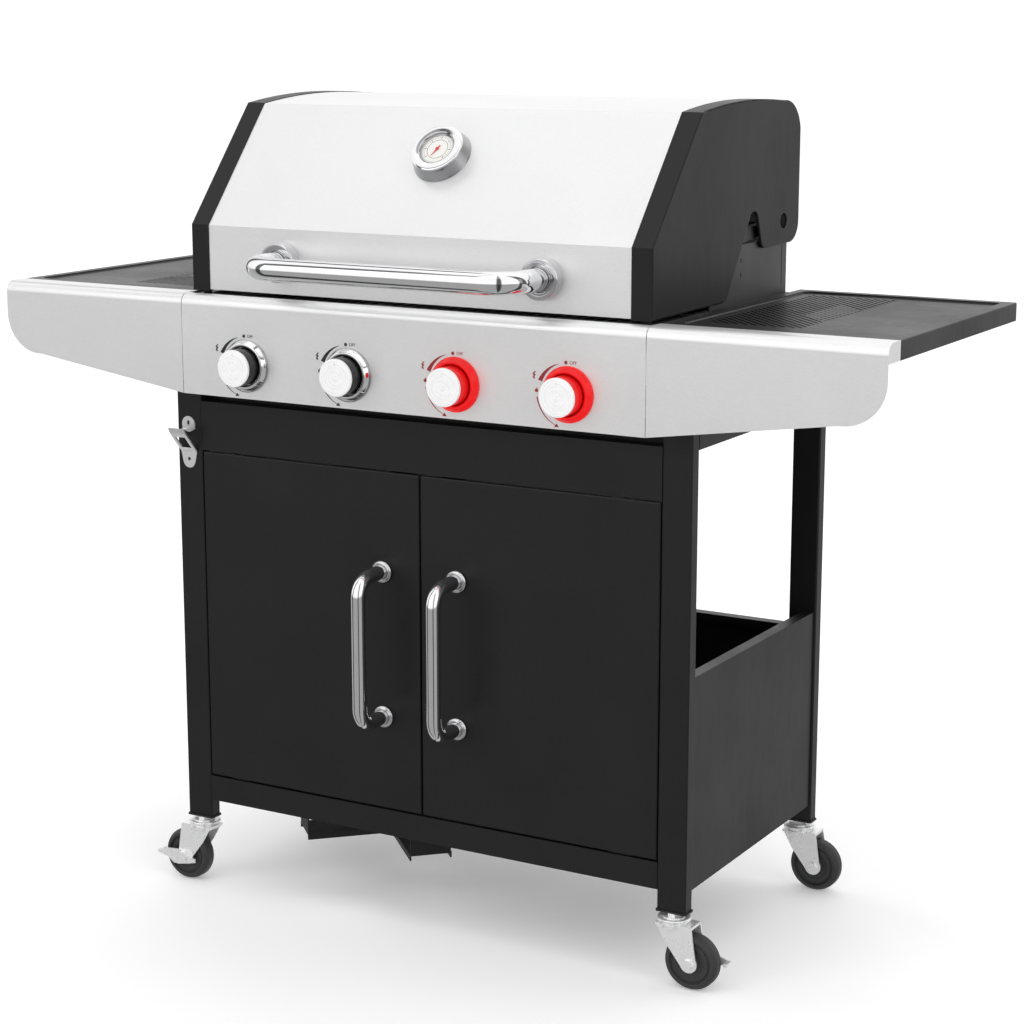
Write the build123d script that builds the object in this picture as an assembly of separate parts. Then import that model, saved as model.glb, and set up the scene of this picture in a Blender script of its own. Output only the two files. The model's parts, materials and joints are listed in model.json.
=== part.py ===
from build123d import *
import math
import os

# A four-burner gas barbecue on a two-door cart. Millimetres, +Z up, +X to the right of a
# person at the knobs, -Y towards that person. Everything is drawn about the cart's middle
# plane (Y = 0) and moved once at the end, so that the finished box is centred on the origin.

# Cart
cart_half_width = 400.0
cart_half_depth = 216.0
leg_width = 41.5
leg_depth = 20.0
leg_bottom = 102.8
leg_top = 735.0
tube_wall = 1.5
sheet = 1.2
leg_x = cart_half_width - leg_width / 2
leg_y = cart_half_depth - leg_depth / 2
inner_half_width = cart_half_width - leg_width
inner_half_depth = cart_half_depth - leg_depth

# Cabinet
side_panel_top = 413.3
back_panel_top = 390.0
floor_level = 127.0
rail_bottom = 129.2
rail_top = 166.0
door_bottom = 168.0
door_top = 641.0
header_bottom = 643.0
header_top = 712.0
side_rail_bottom = 708.5
door_depth = 18.0
door_gap = 1.2
door_outer = 357.0
door_pin_x = 304.0
door_pin_y = -207.0
pin_radius = 3.0
running_gap = 0.05
bottle_hole_radius = 120.0
bottle_x = -130.0
bottle_y = -50.0

# Top shelf level, control panel and side shelves
panel_front = -258.0
panel_bottom = 729.5
table_top = 867.0
panel_round = 14.0
panel_half_width = 354.5
shelf_end = 667.5
shelf_inner = 357.5
shelf_front_edge = -219.6
shelf_rear_edge = 210.0
shelf_edge_height = 24.3
shelf_rim = 16.0
shelf_recess = 3.0
burner_pitch = 164.8
knob_z = 774.9
knob_radius = 25.5
knob_face_y = -290.0
knob_back_y = -267.0
stem_radius = 4.0
bezel_radius = 36.0

# Firebox
box_half_width = 346.0
box_front = -212.0
box_rear = 186.0
box_bottom = 735.0
box_rim = 864.0
box_wall = 2.0
rear_wall_top = 898.0
wing_top = 985.0
wing_step = 942.0
grate_level = 848.0
tamer_level = 810.0
burner_z = 785.0

# Lid
lid_front = -235.6
lid_rear = 214.0
lid_bottom = 869.9
crease_z = 959.8
slope_top_y = -100.0
slope_top_z = 1119.0
crest_z = 1129.8
cap_outer = 351.4
cap_plate = 3.0
skin_half_width = 322.3
hinge_y = 161.3
hinge_z = 964.6
bolt_radius = 5.0
thermometer_y = -151.7
thermometer_z = 1056.1
cold_end = 135.0

# Handles
lid_handle_radius = 15.0
lid_handle_y = -322.0
lid_handle_z = 915.3
lid_handle_x = 200.0
door_handle_radius = 10.0
door_handle_x = 58.5
door_handle_y = -278.0
door_handle_low = 300.3
door_handle_high = 503.7

# Casters
wheel_radius = 37.5
wheel_half_width = 12.0
trail = 28.0
fork_inner = 13.0
fork_outer = 15.0
axle_radius = 4.0


def block(x, y, z):
    """A box between two limits on each axis."""
    size = (x[1] - x[0], y[1] - y[0], z[1] - z[0])
    middle = ((x[0] + x[1]) / 2, (y[0] + y[1]) / 2, (z[0] + z[1]) / 2)
    return Pos(*middle) * Box(*size)


def rod(start, end, radius):
    """A round bar from one point to another."""
    along = Vector(*end) - Vector(*start)
    seat = Plane(origin=start, z_dir=along)
    return seat * Cylinder(radius, along.length, align=(Align.CENTER, Align.CENTER, Align.MIN))


def cut_x(face, x0, x1):
    """A (y, z) outline carried from x0 to x1."""
    return Pos(x0, 0, 0) * extrude(Plane.YZ * face, amount=x1 - x0)


def cut_y(face, y0, y1):
    """An (x, z) outline carried from y0 to y1."""
    return Pos(0, y1, 0) * extrude(Plane.XZ * face, amount=y1 - y0)


def cut_z(face, z0, z1):
    """An (x, y) outline carried from z0 to z1."""
    return Pos(0, 0, z0) * extrude(face, amount=z1 - z0)


def flip(shape):
    """The left-hand copy of a right-hand piece."""
    return mirror(shape, about=Plane.YZ)


def polygon(*points):
    return make_face(Polyline(*points, close=True).edges())


# ------------------------------------------------------------------ cart frame
def leg(side, end):
    """A rectangular tube standing in one corner of the cart."""
    outside = RectangleRounded(leg_width, leg_depth, 2.5)
    inside = RectangleRounded(leg_width - 2 * tube_wall, leg_depth - 2 * tube_wall, 1.2)
    tube = cut_z(outside - inside, leg_bottom, leg_top)
    return Pos(side * leg_x, end * leg_y, 0) * tube


def leg_end_cap(side, end):
    """A plug pushed into the tube, with a thin lip below it and a hole for the caster stem."""
    lip = cut_z(RectangleRounded(leg_width + 3.5, leg_depth + 3.5, 3.5), leg_bottom - 2.4, leg_bottom)
    plug = cut_z(RectangleRounded(leg_width - 3.2, leg_depth - 3.2, 1.2), leg_bottom, leg_bottom + 16)
    hole = rod((0, 0, leg_bottom - 3), (0, 0, leg_bottom + 17), 5.05)
    return Pos(side * leg_x, end * leg_y, 0) * (lip + plug - hole)


def side_panel():
    """The low right-hand wall: one sheet with its top and end edges folded inwards."""
    outer = cart_half_width - 3
    reach = inner_half_depth
    wall = block((outer - sheet, outer), (-reach, reach), (floor_level, side_panel_top))
    top_fold = block((outer - 17, outer), (-reach, reach), (side_panel_top - sheet, side_panel_top))
    fold = (outer - 17, outer - 17 + sheet)
    drop = block(fold, (-reach, reach), (side_panel_top - 9, side_panel_top))
    panel = wall + top_fold + drop
    for y in (-reach, reach - sheet):
        panel += block((outer - 14, outer), (y, y + sheet), (floor_level, side_panel_top))
    edge = panel.edges().filter_by(Axis.Y).sort_by(lambda e: e.center().Z + e.center().X)[-1]
    return fillet(edge, 1.0)


def back_panel():
    """The low rear wall, with a folded top flange and turned ends."""
    across = (-inner_half_width, inner_half_width)
    wall = block(across, (212, 212 + sheet), (floor_level, back_panel_top))
    top_fold = block(across, (197, 212 + sheet), (back_panel_top - sheet, back_panel_top))
    drop = block(across, (197, 197 + sheet), (back_panel_top - 10, back_panel_top))
    return wall + top_fold + drop


def floor_panel():
    """The cabinet floor, notched round the legs, with the round hole for a gas bottle's foot."""
    level = (floor_level + 3, floor_level + 4.5)
    side_face = cart_half_width - 3 - sheet
    narrow = inner_half_width - 0.3
    long_way = block((-narrow, narrow), (-203, 212), level)
    wide_way = block((-side_face, side_face), (-inner_half_depth + 1.5, inner_half_depth - 1.5), level)
    hole = Pos(bottle_x, bottle_y, floor_level) * Cylinder(bottle_hole_radius, 20)
    return long_way + wide_way - hole


def bottom_rail():
    """The front cross rail under the doors, a channel with the two lower door pins standing on it."""
    reach = inner_half_width
    face = (-cart_half_depth, -cart_half_depth + sheet)
    front = block((-reach, reach), face, (rail_bottom, rail_top))
    top = block((-reach, reach), (-cart_half_depth, -198), (rail_top - sheet, rail_top))
    low = block((-reach, reach), (-cart_half_depth, -203), (rail_bottom, rail_bottom + sheet))
    rail = front + top + low
    for side in (-1, 1):
        x = side * door_pin_x
        rail += rod((x, door_pin_y, rail_top - 1), (x, door_pin_y, rail_top + 9), pin_radius)
    return rail


def header_fascia():
    """The black band above the doors: a channel with the upper door pins and two catch blocks."""
    reach = inner_half_width
    face = (-cart_half_depth, -cart_half_depth + sheet)
    front = block((-reach, reach), face, (header_bottom, header_top))
    low = block((-reach, reach), (-cart_half_depth, -184), (header_bottom, header_bottom + sheet))
    top = block((-reach, reach), (-cart_half_depth, -200), (header_top - sheet, header_top))
    fascia = front + low + top
    for side in (-1, 1):
        end = (reach - sheet, reach) if side > 0 else (-reach, sheet - reach)
        fascia += block(end, (-cart_half_depth, -198), (header_bottom, header_top))
        x = side * door_pin_x
        pin_low, pin_high = header_bottom - 9, header_bottom + 1
        fascia += rod((x, door_pin_y, pin_low), (x, door_pin_y, pin_high), pin_radius)
        catch = (side * 40 - 16, side * 40 + 16)
        fascia += block(catch, (-197.2, -185), (header_bottom - 18, header_bottom))
    return fascia


def top_rail_side():
    """The right-hand upper rail: a box tube between the front and rear legs."""
    along = (-inner_half_depth, inner_half_depth)
    outside = block((380, 400), along, (side_rail_bottom, leg_top))
    inside = block((381.5, 398.5), along, (side_rail_bottom + 1.5, leg_top - 1.5))
    return outside - inside


def top_rail_rear():
    """The rear upper rail between the rear legs, high enough to let the grease tray pass below."""
    across = (-inner_half_width, inner_half_width)
    outside = block(across, (198, 216), (header_top, leg_top))
    inside = block(across, (199.5, 214.5), (header_top + 1.5, leg_top - 1.5))
    return outside - inside


def cross_member(y, height):
    """A tube between the side rails that the firebox stands on."""
    low = box_bottom - height
    outside = block((-380, 380), (y - 10, y + 10), (low, box_bottom))
    inside = block((-380, 380), (y - 8.5, y + 8.5), (low + 1.5, box_bottom - 1.5))
    return outside - inside


def tray_runner():
    """An L-shaped runner, hung between the cross members, that the grease tray slides on."""
    web = block((311.5, 313), (-170, 190), (690, box_bottom - 10))
    lip = block((301, 313), (-170, 190), (690, 691.5))
    return web + lip


def bottle_cradle():
    """Two strap hangers crossing under the bottle hole, each a shallow channel with turned-up ends."""
    reach = 152.0
    half = 29.0
    low = 88.0
    under_floor = floor_level + 3
    strap = block((-reach, reach), (-half, half), (low, low + 2))
    for y in (-half, half):
        strap += block((-reach, reach), (y - 1, y + 1), (low - 6.5, low + 2))
    end = block((reach - 2, reach), (-half, half), (low, under_floor))
    end += block((reach - 1, reach + 14), (-half, half), (under_floor - 2, under_floor))
    strap += end + flip(end)
    crossed = Rot(0, 0, 45) * strap + Rot(0, 0, -45) * strap
    return Pos(bottle_x, bottle_y, 0) * crossed


# ------------------------------------------------------------------ control panel and shelves
def front_section(deep_top, bottom):
    """The folded front profile in (y, z): upright face, rolled upper edge and flat top."""
    front = ((panel_front, bottom), (panel_front, table_top))
    outer = polygon(*front, (deep_top, table_top), (deep_top, bottom))
    corner = outer.vertices().sort_by(lambda v: v.Y - v.X)[-1]
    return fillet(corner, panel_round)


def hollow_section(deep_top, bottom, floor_sheet):
    """The same profile as a sheet: a second, smaller outline taken out of the first."""
    outer = front_section(deep_top, bottom)
    low = bottom + sheet if floor_sheet else bottom - 1
    inner = polygon(
        (panel_front + sheet, low),
        (panel_front + sheet, table_top - sheet),
        (deep_top + 1, table_top - sheet),
        (deep_top + 1, low),
    )
    corner = inner.vertices().sort_by(lambda v: v.Y - v.X)[-1]
    return outer - fillet(corner, panel_round - sheet)


def control_panel():
    """The steel fascia for the knobs, folded back underneath and over the top, with a tab at each end."""
    shell = cut_x(hollow_section(-218.0, panel_bottom, True), -panel_half_width, panel_half_width)
    shell -= block((-400, 400), (-243, -210), (table_top - 10, table_top + 1))
    for x in knob_places():
        shell -= rod((x, panel_front - 2, knob_z), (x, panel_front + 5, knob_z), 9)
    tab = block((panel_half_width - sheet, panel_half_width), (panel_front + 0.5, box_front), (795, 845))
    tab += block((332, panel_half_width), (box_front - sheet, box_front), (795, 845))
    return shell + tab + flip(tab)


def knob_places():
    return [burner_pitch * (i - 1.5) for i in range(4)]


def shelf_front():
    """The right shelf's front: rolled top edge, slanted lower edge, round corner, end return, rear lip."""
    section = hollow_section(shelf_front_edge - 1.0, panel_bottom, False)
    shell = cut_x(section, panel_half_width + 1, shelf_end)
    lower_edge = ((panel_half_width, panel_bottom), (608, 766), (shelf_end, 766))
    outline = polygon(*lower_edge, (shelf_end, 900), (panel_half_width, 900))
    corner = outline.vertices().sort_by(lambda v: v.X - v.Y)[-1]
    outline = fillet(corner, 55)
    knee = outline.vertices().sort_by(lambda v: abs(v.X - 608) + abs(v.Y - 766))[0]
    outline = fillet(knee, 60)
    shell = shell & cut_y(outline, panel_front - 5, shelf_front_edge)
    end_low = table_top - shelf_edge_height
    end_face = polygon((panel_front, end_low), (panel_front, table_top), (-219, table_top), (-219, end_low))
    corner = end_face.vertices().sort_by(lambda v: v.Y - v.X)[-1]
    end_face = fillet(corner, panel_round)
    rear = (shelf_front_edge - 1.8, shelf_front_edge)
    lip = block((shelf_inner + 6, shelf_end - 6), rear, (844, table_top - 0.8))
    return shell + cut_x(end_face, shelf_end - sheet, shelf_end) + lip


def shelf_slots():
    """Diagonal slots and a triangle of round holes, as one cutting body for the right shelf."""
    near, far = 388.0, 517.0
    front, rear = -160.0, 174.0
    pitch = 12.7
    cutters = []
    for i in range(int((far + rear - near - front) / pitch)):
        level = near + front + pitch * (i + 0.5)
        x0 = max(near, level - rear)
        x1 = min(far, level - front)
        dotted = max(x0, 471.0) if 437 < level < 553 else x1
        if dotted - x0 > 10:
            middle = (x0 + dotted) / 2
            length = (dotted - x0) * math.sqrt(2) - 4
            slot = Pos(middle, level - middle, 0) * Rot(0, 0, -45) * SlotOverall(length, 3.6)
            cutters.append(cut_z(slot, 850, 870))
        for j in range(int((x1 - dotted) / 9)):
            x = dotted + 6 + 9 * j
            cutters.append(rod((x, level - x, 850), (x, level - x, 870), 2.4))
    return cutters


def shelf_plate():
    """The right shelf: a folded tray with a raised rim round a sunk field, pierced near the firebox."""
    low = table_top - shelf_edge_height
    body = block((shelf_inner, shelf_end), (shelf_front_edge, shelf_rear_edge), (low, table_top - 0.2))
    body = fillet(body.edges().filter_by(Axis.Z), 3)
    body = fillet(body.faces().sort_by(Axis.Z)[-1].edges(), 1.6)
    field = (shelf_inner + shelf_rim, shelf_end - shelf_rim)
    field_y = (shelf_front_edge + shelf_rim, shelf_rear_edge - shelf_rim)
    pocket = block(field, field_y, (table_top - shelf_recess, table_top + 5))
    pocket = fillet(pocket.edges().filter_by(Axis.Z), 12)
    pocket = chamfer(pocket.faces().sort_by(Axis.Z)[0].edges(), 1.4)
    inside_x = (shelf_inner + sheet, shelf_end - sheet)
    inside_y = (shelf_front_edge + sheet, shelf_rear_edge - sheet)
    hollow = block(inside_x, inside_y, (low - 1, table_top - shelf_recess - 1.4))
    under_rim = block(inside_x, inside_y, (table_top - 6, table_top - 2.2))
    sunk_x = (field[0] - sheet, field[1] + sheet)
    sunk_y = (field_y[0] - sheet, field_y[1] + sheet)
    under_rim -= block(sunk_x, sunk_y, (table_top - 7, table_top))
    plate = body - pocket - hollow - under_rim
    return plate - Compound(shelf_slots())


def shelf_bracket(y):
    """A bar from the firebox wall under the right shelf, with a pad against the shelf's underside."""
    reach = 596
    bar = block((box_half_width, reach), (y - 10, y + 10), (820, table_top - shelf_edge_height - 0.2))
    pad = block((reach - 36, reach), (y - 10, y + 10), (835, table_top - shelf_recess - 1.4))
    return bar + pad


# ------------------------------------------------------------------ gas train and knobs
def gas_manifold():
    """The supply pipe behind the panel, four valve bodies on it and a hose inlet at its right end."""
    pipe_y, pipe_z = -230.0, 755.0
    train = rod((-290, pipe_y, pipe_z), (325, pipe_y, pipe_z), 8)
    train += rod((325, pipe_y, pipe_z), (338, pipe_y, pipe_z), 10)
    for x in knob_places():
        train += block((x - 11, x + 11), (-250, -224), (knob_z - 24, knob_z + 13))
        train -= rod((x, -252, knob_z), (x, -235, knob_z), stem_radius + running_gap)
    return train


def bezel(x):
    """The ring round a knob: a thin flange, a cone, and a bore that the knob can sink into."""
    ring = rod((x, panel_front - 1.5, knob_z), (x, panel_front, knob_z), bezel_radius)
    cone = Pos(x, panel_front - 1.5, knob_z) * Rot(90, 0, 0) * Cone(
        bezel_radius - 0.6, 29.5, 8.5, align=(Align.CENTER, Align.CENTER, Align.MIN))
    return ring + cone - rod((x, panel_front - 12, knob_z), (x, panel_front - 2.5, knob_z), 27) \
        - rod((x, panel_front - 4, knob_z), (x, panel_front + 1, knob_z), 9)


def valve_stem(x):
    """The sprung stem that moves inwards when its knob is pushed."""
    return rod((x, -285, knob_z), (x, -240, knob_z), stem_radius)


def knob(x):
    """A round grip, open at the back round a hub, turning on the stem."""
    grip = rod((x, knob_face_y, knob_z), (x, knob_back_y, knob_z), knob_radius)
    grip = fillet(grip.edges().sort_by(Axis.Y)[0], 2.0)
    hollow = rod((x, -284, knob_z), (x, knob_back_y + 1, knob_z), knob_radius - 3)
    hub = rod((x, -285, knob_z), (x, knob_back_y, knob_z), 8)
    bore = rod((x, -285.2, knob_z), (x, knob_back_y + 1, knob_z), stem_radius + running_gap)
    return grip - hollow + hub - bore


# ------------------------------------------------------------------ firebox and cooking parts
def firebox():
    """The open-topped steel box with an outward rim, ledges inside and two wings that carry the lid."""
    half, wall = box_half_width, box_wall
    body = block((-half, half), (box_front, box_rear), (box_bottom, box_rim))
    inside = ((-half + wall, half - wall), (box_front + wall, box_rear - wall))
    body -= block(*inside, (box_bottom + wall, box_rim + 1))
    rim = block((-half - 10, half + 10), (-232, box_rear + 8), (box_rim - wall, box_rim))
    body += rim - block(*inside, (box_rim - 5, box_rim + 1))
    body += block((-half, half), (box_rear - wall, box_rear), (box_rim, rear_wall_top))
    for level in (grate_level, tamer_level):
        body += block(inside[0], (box_front + wall, box_front + 12), (level - wall, level))
        body += block(inside[0], (box_rear - 12, box_rear - wall), (level - wall, level))
    body -= block((-200, 200), (-60, 60), (box_bottom - 1, box_bottom + wall + 1))
    for x in knob_places():
        body -= rod((x, box_front - 1, burner_z), (x, box_front + wall + 1, burner_z), 18.5)
    low_part = ((-60, box_rim), (-60, 900), (20, wing_step), (93, wing_step))
    outline = polygon(*low_part, (110, wing_top), (box_rear, wing_top), (box_rear, box_rim))
    wing = cut_x(outline, half - wall, half)
    wing -= rod((half - 5, hinge_y, hinge_z), (half + 5, hinge_y, hinge_z), bolt_radius + 0.02)
    for z in (902, 921):
        wing -= block((half - 5, half + 5), (34.8, 37.2), (z - 3, z + 3))
    wing -= block((half - 0.7, half + 1), (169, 170.6), (876, 950))
    return body + wing + flip(wing)


def burner(x):
    """A steel tube burner on two feet, its front end open towards the valve."""
    tube = rod((x, -222, burner_z), (x, 150, burner_z), 17.5)
    tube -= rod((x, -223, burner_z), (x, 148, burner_z), 16.3)
    for y in (-185, 130):
        tube += block((x - 12, x + 12), (y, y + 2), (box_bottom + box_wall, burner_z - 17.2))
    ports = []
    for y in range(-150, 140, 24):
        for out in (-1, 1):
            ports.append(rod((x + out * 10, y, burner_z), (x + out * 22, y, burner_z + 8), 1.6))
    return tube - Compound(ports)


def flame_tamer(x):
    """An inverted V of sheet steel over a burner, resting on the lower ledges."""
    peak, foot, half = tamer_level + 22, tamer_level, 48
    upper = ((x - half, foot), (x, peak), (x + half, foot))
    outline = polygon(*upper, (x + half - 2, foot), (x, peak - 2), (x - half + 2, foot))
    return cut_y(outline, box_front + box_wall + 0.5, box_rear - box_wall - 0.5)


def cooking_grate(side):
    """One of two cast grates: a frame with bars running front to back and two cross bars."""
    x0, x1 = (2.0, 342.0) if side > 0 else (-342.0, -2.0)
    y0, y1 = box_front + box_wall + 1, box_rear - box_wall - 1
    plate = block((x0, x1), (y0, y1), (grate_level, grate_level + 10))
    gaps = []
    pitch = (x1 - x0 - 12) / 19
    for i in range(19):
        left = x0 + 9 + pitch * i
        for low, high in ((y0 + 10, -72), (-64, 46), (54, y1 - 10)):
            gaps.append(block((left, left + pitch - 6), (low, high), (grate_level - 1, grate_level + 11)))
    return plate - Compound(gaps)


def warming_rack():
    """The upper wire shelf between the firebox wings, its front hooks standing on the wings' low edge."""
    level, y0, y1, reach = 958.0, 34.0, 146.0, box_half_width - box_wall
    frame = block((-reach + 6, reach - 6), (y0, y1), (level, level + 5))
    gaps = []
    count = 36
    pitch = (2 * reach - 24) / count
    for i in range(count):
        left = -reach + 12 + pitch * i + 2.0
        gaps.append(block((left, left + pitch - 4), (y0 + 5, y1 - 5), (level - 1, level + 6)))
    frame -= Compound(gaps)
    hooks = block((reach - 7, reach + box_wall), (y0 + 3, y0 + 9), (level, level + 5))
    hooks += block((reach, reach + box_wall), (y0 + 3, y0 + 9), (wing_step, level + 5))
    hooks += block((reach - 7, reach), (y1 - 9, y1 - 3), (level, level + 5))
    return frame + hooks + flip(hooks)


def grease_tray():
    """The sliding drip tray, with side flanges on the runners and a pull lip at the back."""
    body = block((-298, 298), (-165, 190), (672, 693))
    body -= block((-296.5, 296.5), (-163.5, 188.5), (673.5, 694))
    flange = block((-309, 309), (-165, 190), (691.8, 693))
    flange -= block((-297, 297), (-164, 189), (690, 694))
    pull = block((-120, 120), (190, 208), (691.8, 693)) + block((-120, 120), (206.8, 208), (682, 693))
    return body + flange + pull


# ------------------------------------------------------------------ lid
def lid_outline(inset):
    """The lid's upper outline in (y, z) from the front foot to the rear wall, moved inwards by inset."""
    foot = (lid_front + inset, lid_bottom)
    crease = (lid_front + inset, crease_z - 0.375 * inset)
    slope = (slope_top_y + 0.51 * inset, slope_top_z - 0.94 * inset)
    crest = (30, crest_z - inset)
    back = (160 - 0.1 * inset, 1126 - inset)
    turn = (198 - 0.7 * inset, 1114.5 - 0.7 * inset)
    heel = (lid_rear - inset, 1088)
    return foot, crease, slope, crest, back, turn, heel


def lid_section(inset, rear_bottom, front_bottom):
    """The area under that outline, closed by a straight line from the rear wall's foot to the front."""
    foot, crease, slope, crest, back, turn, heel = lid_outline(inset)
    low_front = (foot[0], front_bottom)
    low_rear = (heel[0], rear_bottom)
    edges = Line(low_front, crease) + Line(crease, slope) + ThreePointArc(slope, crest, back)
    edges += ThreePointArc(back, turn, heel)
    edges += Line(heel, low_rear)
    edges += Line(low_rear, low_front)
    return make_face(edges.edges())


def lid_skin():
    """The folded steel shell of the lid: front, slope, curved top and rear wall, with open ends."""
    low = lid_bottom + 2.0
    outer = lid_section(1.0, 940, low)
    inner = lid_section(2.5, 900, 700)
    shell = cut_x(outer - inner, -skin_half_width, skin_half_width)
    across = (-skin_half_width, skin_half_width)
    hem = block(across, (lid_front + 1, lid_front + 12), (low, low + 1.5))
    return shell + hem


def cap_side_face():
    """The end cap's side outline: the lid's outline, with the hinge lobe and the notch in its lower edge."""
    foot, crease, slope, crest, back, turn, heel = lid_outline(0)
    edges = Line(foot, crease) + Line(crease, slope) + ThreePointArc(slope, crest, back)
    edges += ThreePointArc(back, turn, heel)
    edges += Line(heel, (lid_rear, 962))
    edges += ThreePointArc((lid_rear, 962), (205.5, 942), (182, 933.5))
    edges += Line((182, 933.5), (101, 932.5))
    edges += ThreePointArc((101, 932.5), (91.5, 935.5), (87, 944))
    edges += Line((87, 944), (75, 976))
    edges += ThreePointArc((75, 976), (63.5, 983.5), (52, 976))
    edges += Line((52, 976), (-12.9, 881))
    edges += ThreePointArc((-12.9, 881), (-22, 873.6), (-36, 871.5))
    edges += Line((-36, 871.5), foot)
    return make_face(edges.edges())


def lid_end():
    """The right end cap: a side plate, a band following the shell's edge, and a bumper seat."""
    plate = cut_x(cap_side_face(), cap_outer - cap_plate, cap_outer)
    band_face = lid_section(0, 1000, lid_bottom) - lid_section(3.0, 900, 700)
    cap = plate + cut_x(band_face, skin_half_width, cap_outer)
    cap = fillet(cap.faces().sort_by(Axis.X)[-1].outer_wire().edges(), 2.2)
    seat = (skin_half_width + 3, cap_outer - 2.5)
    cap += block(seat, (lid_front + 2, -214), (lid_bottom, lid_bottom + 2.5))
    cap += rod((346.3, hinge_y, hinge_z), (349, hinge_y, hinge_z), 13)
    cap -= rod((348.8, hinge_y, hinge_z), (352, hinge_y, hinge_z), 10.5)
    return cap - rod((340, hinge_y, hinge_z), (352, hinge_y, hinge_z), bolt_radius + running_gap)


def hinge_bolt():
    """A shoulder bolt through the lid's right cap and the firebox wing, with its nut inside."""
    shank = rod((338, hinge_y, hinge_z), (349.3, hinge_y, hinge_z), bolt_radius)
    head = rod((349.1, hinge_y, hinge_z), (350.9, hinge_y, hinge_z), 8)
    head = fillet(head.edges().sort_by(Axis.X)[-1], 0.8)
    nut = rod((338, hinge_y, hinge_z), (box_half_width - box_wall, hinge_y, hinge_z), 8)
    return shank + head + nut


def lid_bumper(side):
    """A rubber stop under the lid cap's front corner."""
    x = side * 336.5
    return Pos(x, -222, 0) * cut_z(Circle(6), box_rim, lid_bottom)


def bent_handle(ends, reach, root, radius, wall, bend):
    """A tube that runs out from one fixing, across, and back to the other, all in one plane."""
    a, b = ends
    path = FilletPolyline(
        (a[0], root, a[1]), (a[0], reach, a[1]), (b[0], reach, b[1]), (b[0], root, b[1]), radius=bend)
    start = Plane(origin=(a[0], root, a[1]), z_dir=(0, -1, 0))
    return sweep(start * (Circle(radius) - Circle(radius - wall)), path=path)


def rosette(x, face, z, radius, depth):
    """The stepped collar where a handle meets a sheet."""
    drum = rod((x, face - depth, z), (x, face, z), radius)
    front = drum.edges().sort_by(Axis.Y)[0]
    return fillet(front, depth * 0.12)


def lid_handle():
    """The wide tube handle across the lid's front, with a deep collar at each end."""
    ends = ((-lid_handle_x, lid_handle_z), (lid_handle_x, lid_handle_z))
    face = lid_front + 1.0
    handle = bent_handle(ends, lid_handle_y, face, lid_handle_radius, 1.5, 42)
    for x in (-lid_handle_x, lid_handle_x):
        collar = rosette(x, face, lid_handle_z, 27, 17)
        collar -= rod((x, face - 19, lid_handle_z), (x, face - 14, lid_handle_z), 19)
        handle += collar - rod((x, face - 19, lid_handle_z), (x, face + 1, lid_handle_z), lid_handle_radius)
    return handle


def thermometer_seat():
    """The plane of the lid's slope under the thermometer, its z pointing out of the lid."""
    _, crease, slope_top, *_ = lid_outline(1.0)
    low = Vector(0, *crease)
    slope = (Vector(0, *slope_top) - low).normalized()
    outward = Vector(1, 0, 0).cross(slope)
    along = (Vector(0, thermometer_y, thermometer_z) - low).dot(slope)
    return Plane(origin=low + slope * along, x_dir=(1, 0, 0), z_dir=outward)


def thermometer_case():
    """The chrome dial case: a foot, a tapered body, a sunk face and the needle's spindle."""
    up = (Align.CENTER, Align.CENTER, Align.MIN)
    foot = Cylinder(41.5, 3, align=up)
    body = Pos(0, 0, 3) * Cone(40.0, 36.5, 17, align=up)
    case = fillet((foot + body).edges().sort_by(Axis.Z)[-1], 1.2)
    case -= Pos(0, 0, 15) * Cylinder(26, 6, align=up)
    case += Pos(0, 0, 14.5) * Cylinder(1.5, 4, align=up)
    return thermometer_seat() * case


def thermometer_needle():
    """The pointer, a hub on the spindle with one long and one short arm, resting at the cold end."""
    up = (Align.CENTER, Align.CENTER, Align.MIN)
    hub = Pos(0, 0, 16.2) * Cylinder(3.4, 1.6, align=up)
    arm = cut_z(polygon((-1.0, -6), (1.0, -6), (0.4, 20), (-0.4, 20)), 16.5, 17.3)
    needle = hub + arm - Pos(0, 0, 15) * Cylinder(1.5 + running_gap, 5, align=up)
    return thermometer_seat() * Rot(0, 0, cold_end) * needle


# ------------------------------------------------------------------ doors and their handles
def door():
    """The right door: a pan of sheet steel, open at the back, with a drilled block at each pin."""
    x = (door_gap, door_outer)
    front, back = -cart_half_depth, -cart_half_depth + door_depth
    pan = block(x, (front, back), (door_bottom, door_top))
    pan = fillet(pan.faces().sort_by(Axis.Y)[0].edges(), 2.4)
    inside_z = (door_bottom + sheet, door_top - sheet)
    pan -= block((x[0] + sheet, x[1] - sheet), (front + sheet, back + 1), inside_z)
    for z in (door_bottom + 4, door_top - 4):
        pan += block((door_pin_x - 16, door_pin_x + 16), (front + 0.6, back), (z - 4, z + 4))
        pan -= Pos(door_pin_x, door_pin_y, z) * Cylinder(pin_radius + running_gap, 18)
    return pan


def door_handle():
    """The right door's upright tube handle with its two collars."""
    face = -cart_half_depth
    ends = ((door_handle_x, door_handle_low), (door_handle_x, door_handle_high))
    handle = bent_handle(ends, door_handle_y, face, door_handle_radius, 1.2, 26)
    for z in (door_handle_low, door_handle_high):
        collar = rosette(door_handle_x, face, z, 15.5, 7)
        handle += collar - rod((door_handle_x, face - 9, z), (door_handle_x, face + 1, z), door_handle_radius)
    return handle


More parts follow.
